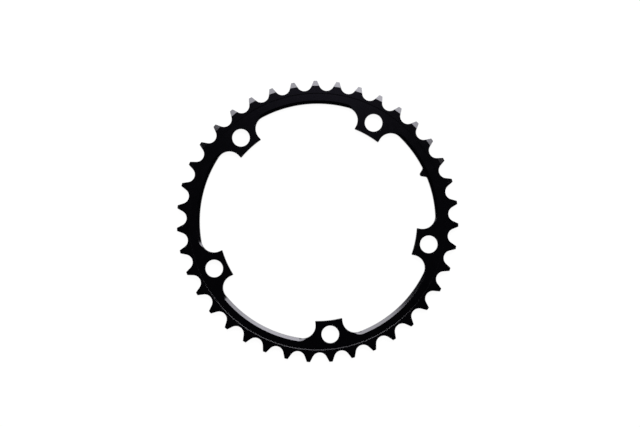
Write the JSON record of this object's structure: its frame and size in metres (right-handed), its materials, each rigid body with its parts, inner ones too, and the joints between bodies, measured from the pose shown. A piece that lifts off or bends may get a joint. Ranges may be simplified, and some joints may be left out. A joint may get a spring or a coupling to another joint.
{
  "type": "bicycle chainring",
  "caption": "Flat black toothed ring that carries a bicycle chain and bolts to a crank spider by tabs inside its rim.",
  "frame": {"origin": "on the ring's axis, at the rear face that it lies on", "axes": "+Z along the axis, out of the front face with the bevelled rim; +Y through the index nub"},
  "size_m": [0.1612, 0.1612, 0.0037],
  "materials": {
    "black_anodised": "black anodised, satin faces and smoother bevels"
  },
  "bodies": {
    "root": {"chainring": "black_anodised"}
  },
  "joints": []
}
